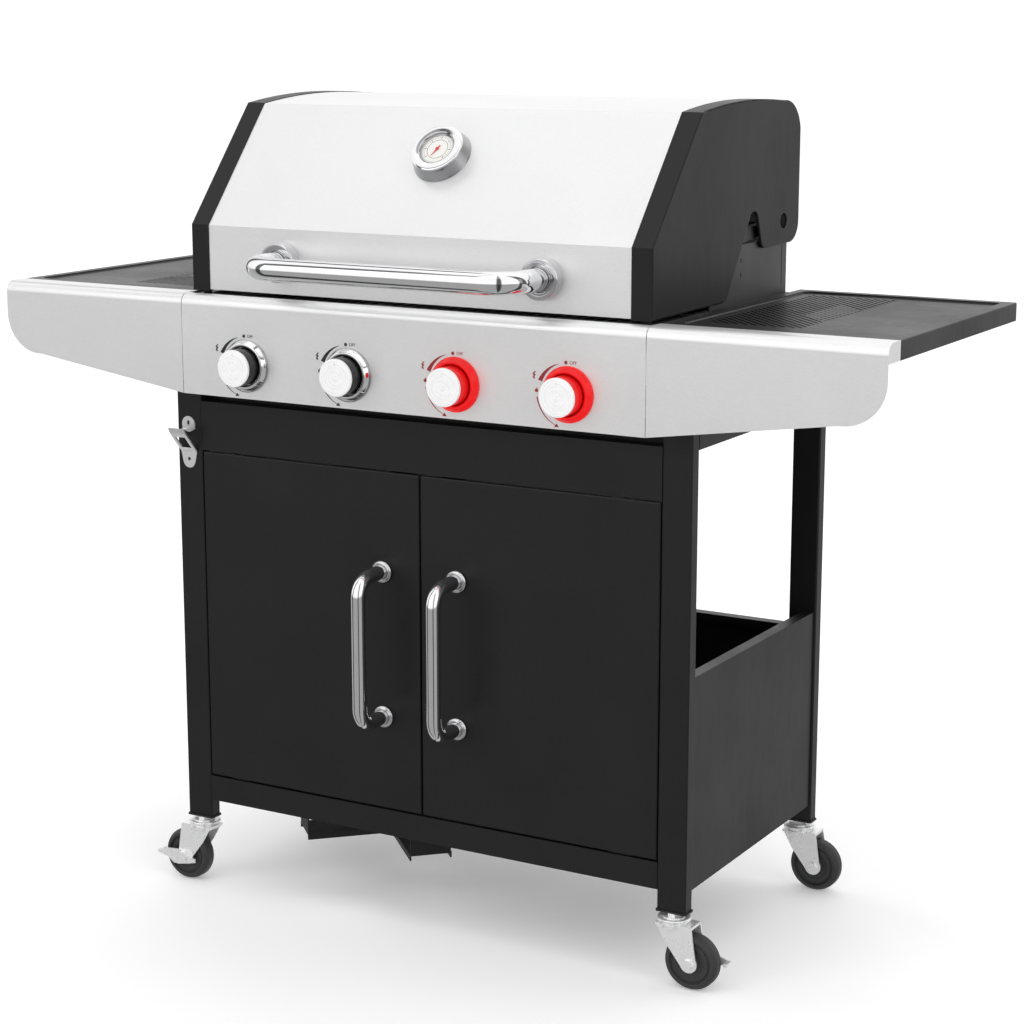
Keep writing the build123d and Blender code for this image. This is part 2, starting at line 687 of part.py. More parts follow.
def bottle_opener():
    """The opener on the front left leg: a lower plate bent out into a windowed lip, and a tab above it."""
    x, face = -380.0, -cart_half_depth
    thick = 1.6
    plate = polygon((x - 13.7, 640.5), (x + 13.7, 640.5), (x + 10, 623), (x - 10, 623))
    plate += Pos(x, 626) * Circle(10.2)
    plate -= Pos(x, 628.5) * Circle(2.5)
    lower = cut_y(plate, face - thick, face)
    lower_face = ((face - thick, 639), (-243, 668), (-246, 674.5))
    side = polygon((face, 640), *lower_face, (-244.6, 675.6), (-241, 669.5))
    ramp = cut_x(side, x - 13.7, x + 13.7)
    ramp -= block((x - 8.6, x + 8.6), (-238, face - 4), (630, 690))
    tab = polygon((x - 11, 678), (x + 11, 678), (x + 10.5, 671), (x - 10.5, 671))
    tab += Pos(x, 678) * Circle(11)
    tab -= Pos(x, 680) * SlotOverall(6.6, 4.0, rotation=90)
    upper = cut_y(tab, face - thick, face)
    tooth = block((x - 10, x - 3), (face - 7, face), (669.4, 671))
    return [lower + ramp, upper + tooth]


# ------------------------------------------------------------------ casters
# Each is drawn about its stem, with the wheel trailing towards +X.
def caster_stem():
    """The fixed half of a caster: threaded stem, nut, raceway cap and the rivet head that holds the fork."""
    stem = rod((0, 0, 80.5), (0, 0, leg_bottom + 14), 5)
    nut = cut_z(RegularPolygon(9.5, 6), 94, leg_bottom - 2.4)
    cap = rod((0, 0, 90.3), (0, 0, 94), 22.5)
    cap = fillet(cap.edges().sort_by(Axis.Z)[-1], 1.4) + rod((0, 0, 93), (0, 0, 95.2), 15)
    head = rod((0, 0, 80.5), (0, 0, 82.5), 8)
    return stem + nut + cap + head


def fork(brake_side):
    """The swivelling fork: race cup, top plate, two tapered cheeks and the axle bolt."""
    cheek = polygon((-20, 87), (-14, 77), (-5, 61), (18, 31.5), (39.5, 34), (34, 70), (31, 87))
    cheek += Pos(trail, wheel_radius) * Circle(12)
    top = rod((0, 0, 83), (0, 0, 87), 21) + block((-20, 31), (-fork_outer, fork_outer), (83, 87))
    body = top + cut_y(cheek, -fork_outer, -fork_inner) + cut_y(cheek, fork_inner, fork_outer)
    body += rod((0, 0, 87), (0, 0, 90), 18.5) - rod((0, 0, 86), (0, 0, 91), 13)
    body -= rod((0, 0, 80), (0, 0, 92), 5 + running_gap)
    long_end = 21.6 if brake_side else 17.6
    body += rod((trail, -17.6, wheel_radius), (trail, long_end, wheel_radius), axle_radius)
    body += cut_y(Pos(trail, wheel_radius) * RegularPolygon(7.2, 6), -18.4, -fork_outer)
    nut_start = 18.2 if brake_side else fork_outer
    body += cut_y(Pos(trail, wheel_radius) * RegularPolygon(7.2, 6), nut_start, nut_start + 3.4)
    return body


def wheel():
    """A moulded wheel turned about its axle: round-shouldered tread, sunk web and a hub."""
    half = wheel_half_width
    outline = polygon(
        (axle_radius + running_gap, -12.7), (10, -12.7), (11, -8), (27, -8), (29.5, -half),
        (wheel_radius, -half), (wheel_radius, half),
        (29.5, half), (27, 8), (11, 8), (10, 12.7), (axle_radius + running_gap, 12.7))
    shoulders = outline.vertices().filter_by(lambda v: v.X > wheel_radius - 0.01)
    outline = fillet(shoulders, 4.5)
    return Pos(trail, 0, wheel_radius) * revolve(outline, Axis.Y)


def brake_lever():
    """The side brake of a front caster: a plate pivoting on the axle, with a foot pad behind the tread."""
    x, z = trail, wheel_radius
    outline = polygon(
        (x + 44, z + 2.5), (x + 27, z + 7), (x + 12, z + 8.5), (x - 2, z + 8), (x - 12, z - 1),
        (x - 21, z - 2.5), (x - 21, z - 8), (x - 8, z - 11), (x + 8, z - 14), (x + 17, z - 14),
        (x + 28, z - 6.5), (x + 44, z - 2.5))
    plate = cut_y(outline, 15.4, 17.8)
    pad = block((x + 40.5, x + 46.5), (4, 17.8), (z - 2.5, z + 2.5))
    pad = fillet(pad.edges().filter_by(Axis.Z), 1.2)
    lever = plate + pad
    return lever - rod((x, 14, z), (x, 19, z), axle_radius + running_gap)


def at_caster(shape, side, end):
    """A caster piece moved under its leg; the left-hand casters are turned half way round."""
    turned = shape if side > 0 else Rot(0, 0, 180) * shape
    return Pos(side * leg_x, end * leg_y, 0) * turned


# ------------------------------------------------------------------ the whole
def all_parts():
    corners = [("front_left", -1, -1), ("front_right", 1, -1)]
    corners += [("rear_left", -1, 1), ("rear_right", 1, 1)]
    parts = {}
    for name, side, end in corners:
        parts["leg_" + name] = [leg(side, end)]
    parts["leg_end_caps"] = [leg_end_cap(side, end) for _, side, end in corners]
    panel = side_panel()
    parts["side_panel_right"] = [panel]
    parts["side_panel_left"] = [flip(panel)]
    parts["back_panel"] = [back_panel()]
    parts["floor_panel"] = [floor_panel()]
    parts["bottom_rail"] = [bottom_rail()]
    parts["header_fascia"] = [header_fascia()]
    rail, runner = top_rail_side(), tray_runner()
    parts["top_rails"] = [rail, flip(rail), top_rail_rear(), runner, flip(runner)]
    parts["top_rails"] += [cross_member(-180, 35), cross_member(172, 10)]
    parts["bottle_cradle"] = [bottle_cradle()]
    parts["control_panel"] = [control_panel()]
    front, plate = shelf_front(), shelf_plate()
    parts["shelf_front_right"] = [front]
    parts["shelf_front_left"] = [flip(front)]
    parts["shelf_plate_right"] = [plate]
    parts["shelf_plate_left"] = [flip(plate)]
    brackets = [shelf_bracket(y) for y in (-150, 150)]
    parts["shelf_brackets"] = brackets + [flip(b) for b in brackets]
    parts["firebox"] = [firebox()]
    parts["burners"] = [burner(x) for x in knob_places()]
    parts["flame_tamers"] = [flame_tamer(x) for x in knob_places()]
    parts["cooking_grates"] = [cooking_grate(-1), cooking_grate(1)]
    parts["warming_rack"] = [warming_rack()]
    parts["grease_tray"] = [grease_tray()]
    parts["gas_manifold"] = [gas_manifold()]
    places = knob_places()
    parts["bezels_left_pair"] = [bezel(x) for x in places[:2]]
    parts["bezels_right_pair"] = [bezel(x) for x in places[2:]]
    for i, x in enumerate(places, 1):
        parts[f"valve_stem_{i}"] = [valve_stem(x)]
        parts[f"knob_{i}"] = [knob(x)]
    parts["bottle_opener"] = bottle_opener()
    cap = lid_end()
    parts["lid_skin"] = [lid_skin()]
    parts["lid_end_right"] = [cap]
    parts["lid_end_left"] = [flip(cap)]
    parts["lid_handle"] = [lid_handle()]
    parts["lid_bumpers"] = [lid_bumper(-1), lid_bumper(1)]
    bolt = hinge_bolt()
    parts["hinge_bolts"] = [bolt, flip(bolt)]
    parts["thermometer_case"] = [thermometer_case()]
    parts["thermometer_needle"] = [thermometer_needle()]
    leaf, grip = door(), door_handle()
    parts["door_right"] = [leaf]
    parts["door_left"] = [flip(leaf)]
    parts["door_handle_right"] = [grip]
    parts["door_handle_left"] = [flip(grip)]
    parts["caster_stems"] = [at_caster(caster_stem(), side, end) for _, side, end in corners]
    for name, side, end in corners:
        parts["caster_fork_" + name] = [at_caster(fork(end < 0), side, end)]
        parts["wheel_" + name] = [at_caster(wheel(), side, end)]
        if end < 0:
            parts["brake_lever_" + name] = [at_caster(brake_lever(), side, end)]
    return parts


def main():
    parts = all_parts()
    solids = {name: [s for shape in shapes for s in shape.solids()] for name, shapes in parts.items()}
    whole = Compound([s for group in solids.values() for s in group]).bounding_box()
    shift = Pos(-whole.center().X, -whole.center().Y, -whole.min.Z)
    os.makedirs("parts", exist_ok=True)
    for name, group in solids.items():
        moved = [shift * s for s in group]
        export_step(moved[0] if len(moved) == 1 else Compound(moved), f"parts/{name}.step")
    print("nodes", len(solids), "size", whole.size)
    print("moved by", -whole.center().Y, "in Y and", -whole.min.Z, "in Z")


main()
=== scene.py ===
import bmesh
import bpy
import json
import numpy as np
from math import cos, pi, radians, sin
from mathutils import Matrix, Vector


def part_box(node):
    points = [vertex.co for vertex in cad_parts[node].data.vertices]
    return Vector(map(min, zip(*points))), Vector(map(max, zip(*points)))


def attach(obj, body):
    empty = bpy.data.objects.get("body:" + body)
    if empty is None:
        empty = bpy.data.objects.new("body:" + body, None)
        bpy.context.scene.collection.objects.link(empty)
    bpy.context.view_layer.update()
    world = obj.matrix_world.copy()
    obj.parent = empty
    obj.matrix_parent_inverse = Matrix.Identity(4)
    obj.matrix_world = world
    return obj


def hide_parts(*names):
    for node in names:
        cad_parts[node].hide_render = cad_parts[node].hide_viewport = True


# The looks of a gas barbecue: finishes for its sheet metal, and turned, bent and printed pieces
# that are finer than the frame's. Metres throughout, in the frame's own axes.

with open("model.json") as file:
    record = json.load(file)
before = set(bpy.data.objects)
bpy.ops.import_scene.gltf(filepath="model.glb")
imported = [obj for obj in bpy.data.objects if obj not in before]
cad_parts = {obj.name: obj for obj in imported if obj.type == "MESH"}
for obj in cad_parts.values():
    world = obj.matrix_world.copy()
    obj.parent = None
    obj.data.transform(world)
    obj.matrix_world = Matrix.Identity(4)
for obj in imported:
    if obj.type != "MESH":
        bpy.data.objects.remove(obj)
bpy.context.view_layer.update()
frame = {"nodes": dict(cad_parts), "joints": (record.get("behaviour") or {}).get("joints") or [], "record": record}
nodes = frame["nodes"]
joints = {j["name"]: j for j in frame["joints"]}
print("frame loaded:", len(nodes), "nodes")


# helpers that wire up one material at a time
def startMaterial(name, metallic=0.0, roughness=0.5, colour=(0.5, 0.5, 0.5), **sockets):
    # uniform numbers go straight onto the shader; a socket's spaces are written as underscores
    material = bpy.data.materials.new(name)
    material.use_nodes = True
    tree = material.node_tree
    shader = tree.nodes["Principled BSDF"]
    shader.inputs["Metallic"].default_value = metallic
    shader.inputs["Roughness"].default_value = roughness
    shader.inputs["Base Color"].default_value = (*colour, 1)
    for socket, value in sockets.items():
        shader.inputs[socket.replace("_", " ")].default_value = value
    return material, tree, shader


def coordinates(tree, stretch, source="Object"):
    # a place on the piece, multiplied axis by axis
    place = tree.nodes.new("ShaderNodeTexCoord")
    mapping = tree.nodes.new("ShaderNodeMapping")
    mapping.inputs["Scale"].default_value = stretch
    tree.links.new(place.outputs[source], mapping.inputs["Vector"])
    return mapping.outputs["Vector"]


def noise(tree, vector, scale, detail=4.0, rough=0.55):
    # smooth random value, mostly between 0.3 and 0.7
    node = tree.nodes.new("ShaderNodeTexNoise")
    node.inputs["Scale"].default_value = scale
    node.inputs["Detail"].default_value = detail
    node.inputs["Roughness"].default_value = rough
    tree.links.new(vector, node.inputs["Vector"])
    return node.outputs["Fac"]


def remap(tree, value, low, high, fromLow=0.3, fromHigh=0.7):
    # straight line from (fromLow, low) to (fromHigh, high), level beyond both ends
    node = tree.nodes.new("ShaderNodeMapRange")
    node.inputs["From Min"].default_value = fromLow
    node.inputs["From Max"].default_value = fromHigh
    node.inputs["To Min"].default_value = low
    node.inputs["To Max"].default_value = high
    tree.links.new(value, node.inputs["Value"])
    return node.outputs["Result"]


def paint(tree, shader, value, dark, light, fromLow=0.3, fromHigh=0.7):
    # base colour: dark up to fromLow, light from fromHigh, an even blend between them
    ramp = tree.nodes.new("ShaderNodeValToRGB")
    ramp.color_ramp.elements[0].position = fromLow
    ramp.color_ramp.elements[1].position = fromHigh
    ramp.color_ramp.elements[0].color = (*dark, 1)
    ramp.color_ramp.elements[1].color = (*light, 1)
    tree.links.new(value, ramp.inputs["Fac"])
    tree.links.new(ramp.outputs["Color"], shader.inputs["Base Color"])


def arithmetic(tree, operation, a, b):
    # one sum of two values, each a plain number or another node's output
    node = tree.nodes.new("ShaderNodeMath")
    node.operation = operation
    for socket, value in zip(node.inputs, (a, b)):
        if isinstance(value, float):
            socket.default_value = value
        else:
            tree.links.new(value, socket)
    return node.outputs["Value"]


def product(tree, a, b):
    return arithmetic(tree, "MULTIPLY", a, b)


def raiseSkin(tree, shader, height, distance, strength=1.0):
    # the surface stands out by the height times the distance, in metres
    bump = tree.nodes.new("ShaderNodeBump")
    bump.inputs["Strength"].default_value = strength
    bump.inputs["Distance"].default_value = distance
    tree.links.new(height, bump.inputs["Height"])
    tree.links.new(bump.outputs["Normal"], shader.inputs["Normal"])


brushing = {
    "light": (0.92, 0.92, 0.92), "dark": (0.84, 0.84, 0.84),
    "grainLength": 0.006, "grainWidth": 0.0006, "roughness": (0.30, 0.46), "depth": 0.00002,
}


def brushedSteel(name, along=(1, 0, 0), values=brushing, metallic=0.7):
    # fine grain drawn out along one direction, over broad soft clouds of handling
    material, tree, shader = startMaterial(name, metallic=metallic, Anisotropic=0.35)
    across = 1 / values["grainWidth"]
    drawn = 1 / values["grainLength"]
    stretch = [drawn if a else across for a in along]
    grain = noise(tree, coordinates(tree, stretch), 1.0, 5, 0.65)
    speckle = noise(tree, coordinates(tree, (1, 1, 1)), 900, 2, 0.5)
    clouds = noise(tree, coordinates(tree, (1, 1, 1)), 9, 3, 0.5)
    mixed = product(tree, grain, remap(tree, speckle, 0.8, 1.2))
    paint(tree, shader, mixed, values["dark"], values["light"], 0.25, 0.75)
    low, high = values["roughness"]
    uneven = product(tree, remap(tree, grain, low, high), remap(tree, clouds, 0.9, 1.12))
    tree.links.new(uneven, shader.inputs["Roughness"])
    raiseSkin(tree, shader, mixed, values["depth"], 0.5)
    return material


powder = {
    "dark": (0.007, 0.007, 0.007), "light": (0.012, 0.012, 0.012), "texture": 900, "depth": 0.00005,
    "roughness": (0.34, 0.46), "gloss": 0.3,
}


def powderCoat(name, values=powder):
    # an orange-peel skin: small rounded grains, with a slow change of sheen over each sheet
    material, tree, shader = startMaterial(name, Specular_IOR_Level=values["gloss"])
    place = coordinates(tree, (1, 1, 1))
    peel = noise(tree, place, values["texture"], 3, 0.6)
    slow = noise(tree, place, 6, 4, 0.6)
    scuffs = noise(tree, coordinates(tree, (1, 1, 0.25)), 60, 6, 0.7)
    shade = product(tree, peel, remap(tree, slow, 0.85, 1.15))
    paint(tree, shader, shade, values["dark"], values["light"])
    low, high = values["roughness"]
    sheen = product(tree, remap(tree, slow, low, high), remap(tree, scuffs, 0.94, 1.08))
    tree.links.new(sheen, shader.inputs["Roughness"])
    raiseSkin(tree, shader, peel, values["depth"], 0.35)
    return material


def polishedMetal(name, colour, roughness, smear=0.05):
    # nearly clean plating: faint polishing haze only
    material, tree, shader = startMaterial(name, metallic=1.0, colour=colour)
    place = coordinates(tree, (1, 1, 1))
    haze = noise(tree, place, 35, 5, 0.6)
    fine = noise(tree, place, 700, 2, 0.5)
    tree.links.new(remap(tree, haze, roughness, roughness + smear), shader.inputs["Roughness"])
    paler = tuple(min(1.0, c * 1.06) for c in colour)
    paint(tree, shader, haze, colour, paler)
    raiseSkin(tree, shader, fine, 0.000004, 0.3)
    return material


def spunMetal(name, light, dark, metallic=0.2):
    # rings left by turning: the pattern follows the piece's own map, many steps outwards and few round
    # a faint white glow is painted into the face: painted light that brightens it
    material, tree, shader = startMaterial(name, metallic=metallic, Anisotropic=0.6, Emission_Strength=0.03)
    shader.inputs["Emission Color"].default_value = (1, 1, 1, 1)
    rings = noise(tree, coordinates(tree, (2, 180, 1), "UV"), 1.0, 4, 0.6)
    fan = noise(tree, coordinates(tree, (9, 0.3, 1), "UV"), 1.0, 2, 0.5)
    paint(tree, shader, product(tree, rings, remap(tree, fan, 0.8, 1.25)), dark, light, 0.2, 0.7)
    tree.links.new(remap(tree, rings, 0.22, 0.36), shader.inputs["Roughness"])
    raiseSkin(tree, shader, rings, 0.000004, 0.15)
    return material


def moulded(name, dark, light, roughness, texture=500, depth=0.00004, **sockets):
    # a fine grain of the given texture, times a slow cloud; the cloud alone sets the sheen
    material, tree, shader = startMaterial(name, **sockets)
    place = coordinates(tree, (1, 1, 1))
    skin = noise(tree, place, texture, 3, 0.6)
    slow = noise(tree, place, 14, 3, 0.5)
    paint(tree, shader, product(tree, skin, remap(tree, slow, 0.9, 1.1)), dark, light)
    tree.links.new(remap(tree, slow, roughness * 0.88, roughness * 1.15), shader.inputs["Roughness"])
    raiseSkin(tree, shader, skin, depth, 0.4)
    return material


plating = {
    "dark": (0.93, 0.93, 0.935), "light": (0.97, 0.97, 0.97), "crystals": 160,
    "roughness": (0.24, 0.34),
}


def zincPlate(name, values=plating):
    # bright plating: the colour follows the distance to the middle of each crystal
    material, tree, shader = startMaterial(name, metallic=0.6)
    place = coordinates(tree, (1, 1, 1))
    cells = tree.nodes.new("ShaderNodeTexVoronoi")
    cells.inputs["Scale"].default_value = values["crystals"]
    tree.links.new(place, cells.inputs["Vector"])
    haze = noise(tree, place, 45, 4, 0.6)
    paint(tree, shader, cells.outputs["Distance"], values["dark"], values["light"], 0.0, 1.0)
    tree.links.new(remap(tree, haze, *values["roughness"]), shader.inputs["Roughness"])
    raiseSkin(tree, shader, haze, 0.000004, 0.2)
    return material


steel = brushedSteel("brushed stainless")
burnerSteel = brushedSteel("rolled burner steel", (0, 1, 0), {
    "light": (0.62, 0.60, 0.57), "dark": (0.45, 0.43, 0.41),
    "grainLength": 0.01, "grainWidth": 0.0008, "roughness": (0.34, 0.5), "depth": 0.00002})
powderBlack = powderCoat("black powder coat")
capBlack = powderCoat("black cap enamel", {
    "dark": (0.006, 0.006, 0.006), "light": (0.010, 0.010, 0.010), "texture": 1300, "depth": 0.00003,
    "roughness": (0.36, 0.46), "gloss": 0.3})
fireBlack = powderCoat("firebox enamel", {
    "dark": (0.014, 0.014, 0.0138), "light": (0.022, 0.022, 0.0217), "texture": 600, "depth": 0.00005,
    "roughness": (0.36, 0.48), "gloss": 0.75})
boltBlack = powderCoat("sunk bolt black", {
    "dark": (0.001, 0.001, 0.001), "light": (0.003, 0.003, 0.003), "texture": 700, "depth": 0.00003,
    "roughness": (0.6, 0.7), "gloss": 0.08})
chrome = polishedMetal("chrome plate", (0.80, 0.80, 0.81), 0.05)
# a darker copy of the chrome plate: painted shade on the chrome bezel edges and the thermometer's side and well
paintedShadeChrome = polishedMetal("shaded chrome plate", (0.40, 0.40, 0.41), 0.08)
# a darker copy of the chrome plate for the handle collars: painted shade
shadedCollarChrome = polishedMetal("collar chrome with painted shade", (0.58, 0.58, 0.59), 0.07)
# chrome darkened to near black for the warming rack's wires: painted shade, with a dull real roughness
shadedRackWire = polishedMetal("dull rack wire with painted shade", (0.07, 0.07, 0.07), 0.4)
openerSteel = brushedSteel("opener steel", (0, 0, 1), {
    "light": (0.92, 0.92, 0.92), "dark": (0.80, 0.80, 0.80),
    "grainLength": 0.004, "grainWidth": 0.0005, "roughness": (0.28, 0.4), "depth": 0.00002}, 0.8)
zinc = zincPlate("bright zinc")
brass = polishedMetal("turned brass", (0.72, 0.55, 0.28), 0.25, 0.12)
castAluminium = moulded("cast aluminium", (0.5, 0.5, 0.5), (0.64, 0.64, 0.64), 0.5, 350, 0.0001, metallic=1.0)
castIron = moulded("cast iron", (0.012, 0.011, 0.01), (0.035, 0.032, 0.03), 0.62, 420, 0.0003)
plugPlastic = moulded("plug plastic", (0.012, 0.012, 0.012), (0.02, 0.02, 0.02), 0.5, 700)
softRubber = moulded("bumper rubber", (0.012, 0.012, 0.012), (0.02, 0.02, 0.02), 0.7, 600)
tyreRubber = moulded("wheel rubber", (0.022, 0.022, 0.023), (0.036, 0.036, 0.037), 0.55, 420, 0.00008)
redGloss = moulded("red enamel", (0.86, 0.006, 0.008), (0.96, 0.012, 0.014), 0.24, 300, 0.00001,
                   Specular_IOR_Level=0.3)
blackGloss = moulded("black knob plastic", (0.01, 0.01, 0.01), (0.018, 0.018, 0.018), 0.3, 300, 0.00002)
dialCard = moulded("dial card", (0.86, 0.85, 0.81), (0.93, 0.92, 0.89), 0.6, 800, 0.00001)
printCrimson = moulded("print dark red", (0.24, 0.006, 0.014), (0.32, 0.010, 0.020), 0.45, 900, 0.000005)
printGrey = moulded("print pale grey", (0.60, 0.60, 0.60), (0.70, 0.70, 0.70), 0.45, 900, 0.000005)
printBlack = moulded("print black", (0.010, 0.010, 0.010), (0.018, 0.018, 0.018), 0.45, 900, 0.000005)
printRed = moulded("needle red", (0.65, 0.03, 0.02), (0.78, 0.05, 0.04), 0.35, 600, 0.000005)
# the knob faces carry a faint painted glow
spunFaceWithGlow = spunMetal("spun aluminium with painted glow", (0.97, 0.97, 0.97), (0.86, 0.86, 0.86))

finishes = {
    "black_powder_coat": powderBlack, "firebox_black": fireBlack, "lid_cap_black": capBlack,
    "black_plastic": plugPlastic, "brushed_steel": steel, "burner_steel": burnerSteel, "chrome": chrome,
    "zinc_plate": zinc, "aluminium": castAluminium, "brass": brass, "cast_iron": castIron,
    "red_gloss": redGloss, "black_gloss": blackGloss, "rubber": softRubber, "wheel_rubber": tyreRubber,
    "needle_red": printRed,
}
ownFinish = {"bottle_opener": openerSteel, "hinge_bolts": boltBlack}
for part in frame["record"]["subparts"]:
    o = nodes[part["node"]]
    o.data.materials.clear()
    o.data.materials.append(ownFinish.get(part["node"], finishes[part["material_slot"]]))
print("finishes given to every frame node")


# surfaces: every new mesh is an array of points and a list of faces
def addPiece(name, points, faces, corners=None, sharp=38):
    # one mesh from arrays; doubles at poles and seams are merged and the faces turned outwards
    mesh = bpy.data.meshes.new(name)
    mesh.from_pydata(points.reshape(-1, 3).tolist(), [], faces)
    if corners is not None:
        mesh.uv_layers.new(name="UVMap").data.foreach_set("uv", corners.astype(np.float32).ravel())
    work = bmesh.new()
    work.from_mesh(mesh)
    bmesh.ops.remove_doubles(work, verts=work.verts, dist=1e-7)
    bmesh.ops.recalc_face_normals(work, faces=work.faces)
    work.to_mesh(mesh)
    work.free()
    mesh.polygons.foreach_set("use_smooth", np.ones(len(mesh.polygons), bool))
    mesh.set_sharp_from_angle(angle=radians(sharp))
    o = bpy.data.objects.new(name, mesh)
    bpy.context.scene.collection.objects.link(o)
    return o


def gridFaces(rows, columns, closeRows, closeColumns):
    # quads of a grid of points, and where each quad's corners lie on the unit square
    a = np.arange(rows if closeRows else rows - 1)
    b = np.arange(columns if closeColumns else columns - 1)
    i, j = [x.ravel() for x in np.meshgrid(a, b, indexing="ij")]
    i2, j2 = (i + 1) % rows, (j + 1) % columns
    quads = np.stack([i * columns + j, i2 * columns + j, i2 * columns + j2, i * columns + j2], 1)
    u = np.stack([i, i + 1, i + 1, i], 1) / len(a)
    v = np.stack([j, j, j + 1, j + 1], 1) / len(b)
    return quads, np.stack([u, v], 2)


def surface(name, points, closeRows=False, closeColumns=False, sharp=38):
    # a grid of points as one mesh, each way left open or joined round
    rows, columns = points.shape[:2]
    quads, corners = gridFaces(rows, columns, closeRows, closeColumns)
    return addPiece(name, points, quads.tolist(), corners, sharp)


def axes(along, up=(0, 0, 1)):
    # three unit directions as rows: u = up x w, w x u, and w along the given way
    w = np.array(along, float)
    w /= np.linalg.norm(w)
    u = np.cross(np.array(up, float), w)
    if np.linalg.norm(u) < 1e-6:
        u = np.array([1.0, 0.0, 0.0])
    u /= np.linalg.norm(u)
    return np.stack([u, np.cross(w, u), w])


def turned(name, profile, origin, along, closed=False, around=72, sharp=38):
    # each (radius, height) of the profile goes round the axis: r cos t, r sin t, h
    r, h = np.array(profile, float).T / 1000
    t = np.linspace(0, 2 * pi, around, endpoint=False)[:, None]
    local = np.stack([r * np.cos(t), r * np.sin(t), h + 0 * t], 2)
    points = np.array(origin, float) + local @ axes(along)
    return surface(name, points, closeRows=True, closeColumns=closed, sharp=sharp)


def softened(profile, radius, steps=5, closed=False):
    # corners of a line replaced by short arcs: a quadratic curve between two points beside each corner
    p = np.array(profile, float)
    n = len(p)
    inner = range(n) if closed else range(1, n - 1)
    out = [] if closed else [p[:1]]
    s = np.linspace(0, 1, steps)[:, None]
    for k in inner:
        a, b, c = p[k - 1], p[k], p[(k + 1) % n]
        da, dc = a - b, c - b
        la, lc = np.linalg.norm(da), np.linalg.norm(dc)
        cut = min(radius, 0.45 * la, 0.45 * lc)
        start, end = b + da / la * cut, b + dc / lc * cut
        out.append((1 - s) ** 2 * start + 2 * s * (1 - s) * b + s ** 2 * end)
    if not closed:
        out.append(p[-1:])
    return np.concatenate(out)


def bentPath(corners, radius, steps=14):
    # straight runs joined by true arcs; returns the points and the unit direction at each
    p = np.array(corners, float)
    points, ways = [p[:1]], [(p[1:2] - p[:1]) / np.linalg.norm(p[1] - p[0])]
    for k in range(1, len(p) - 1):
        a = (p[k] - p[k - 1]) / np.linalg.norm(p[k] - p[k - 1])
        b = (p[k + 1] - p[k]) / np.linalg.norm(p[k + 1] - p[k])
        turn = np.arccos(np.clip(a @ b, -1, 1))
        outward = (a - b) / np.linalg.norm(a - b)
        middle = p[k] - outward * radius / cos(turn / 2)
        t = np.linspace(-turn / 2, turn / 2, steps)[:, None]
        way = (a + b) / np.linalg.norm(a + b)
        points.append(middle + radius * (np.cos(t) * outward + np.sin(t) * way))
        ways.append(-np.sin(t) * outward + np.cos(t) * way)
    points.append(p[-1:])
    ways.append((p[-1:] - p[-2:-1]) / np.linalg.norm(p[-1] - p[-2]))
    return np.concatenate(points), np.concatenate(ways)


def tube(name, corners, bend, radius, flatNormal, around=40):
    # a ring carried along a flat path: centre + r (cos t n + sin t (way x n)), closed at both ends
    points, ways = bentPath(corners, bend)
    n = np.array(flatNormal, float)
    side = np.cross(ways, n)
    t = np.linspace(0, 2 * pi, around, endpoint=False)[:, None, None]
    rings = points + radius * (np.cos(t) * n + np.sin(t) * side)
    ends = [np.repeat(points[:1][None], around, 0), np.repeat(points[-1:][None], around, 0)]
    return surface(name, np.concatenate([ends[0], rings, ends[1]], 1), closeRows=True)


def slab(name, outline, low, high, seat=None):
    # a flat shape with a little thickness: the outline at two heights, closed above and below
    flat = np.array(outline, float)
    n = len(flat)
    bottom = np.column_stack([flat, np.full(n, low)])
    top = np.column_stack([flat, np.full(n, high)])
    points = np.concatenate([bottom, top])
    k = np.arange(n)
    sides = np.stack([k, (k + 1) % n, (k + 1) % n + n, k + n], 1).tolist()
    faces = sides + [list(range(n))[::-1], list(range(n, 2 * n))]
    if seat is not None:
        origin, basis = seat
        points = np.array(origin, float) + points @ basis
    return addPiece(name, points, faces)


def give(piece, body, finish, slotName, *replaced):
    # finish and body of one new piece, and the frame nodes that it stands for; slotName is not used
    piece.data.materials.append(finish)
    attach(piece, body)
    if replaced:
        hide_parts(*replaced)
    return piece


def merged(name, pieces):
    # several closed shapes of one finish kept as one piece
    work = bmesh.new()
    for piece in pieces:
        work.from_mesh(piece.data)
        bpy.data.objects.remove(piece)
    mesh = bpy.data.meshes.new(name)
    work.to_mesh(mesh)
    work.free()
    mesh.set_sharp_from_angle(angle=radians(38))
    o = bpy.data.objects.new(name, mesh)
    bpy.context.scene.collection.objects.link(o)
    return o


# tube handles, millimetres where a profile is given and metres elsewhere
lidGrip = {"radius": 0.015, "bend": 0.042, "collar": 27.0, "collarDepth": 17.0}


def lidHandle(values=lidGrip):
    # a tube along three straight runs with two arcs, and a grooved collar turned round each foot
    low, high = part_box("lid_handle")
    r = values["radius"]
    x = high.x - values["collar"] / 1000
    z = (low.z + high.z) / 2
    barY = low.y + r
    face = high.y
    corners = [(-x, face, z), (-x, barY, z), (x, barY, z), (x, face, z)]
    give(tube("lidHandleTube", corners, values["bend"], r, (0, 0, 1)), "lid", chrome, "chrome", "lid_handle")
    c, d, inner = values["collar"], values["collarDepth"], r * 1000 + 0.05
    profile = softened([(inner, 0), (c, 0), (c, d - 1.6), (c - 1.6, d), (c - 7.0, d),
                        (c - 8.0, d - 1.4), (inner + 1.8, d - 1.4), (inner + 1.2, d - 4.5),
                        (inner, d - 4.5)], 0.6, 4, True)
    for side, label in ((-1, "Left"), (1, "Right")):
        collar = turned("lidHandleCollar" + label, profile, (side * x, face, z), (0, -1, 0), closed=True)
        # the collars take the darker chrome: painted shade
        give(collar, "lid", shadedCollarChrome, "chrome", "lid_handle")


doorGrip = {"radius": 0.010, "bend": 0.026, "collar": 15.5, "collarDepth": 7.0}


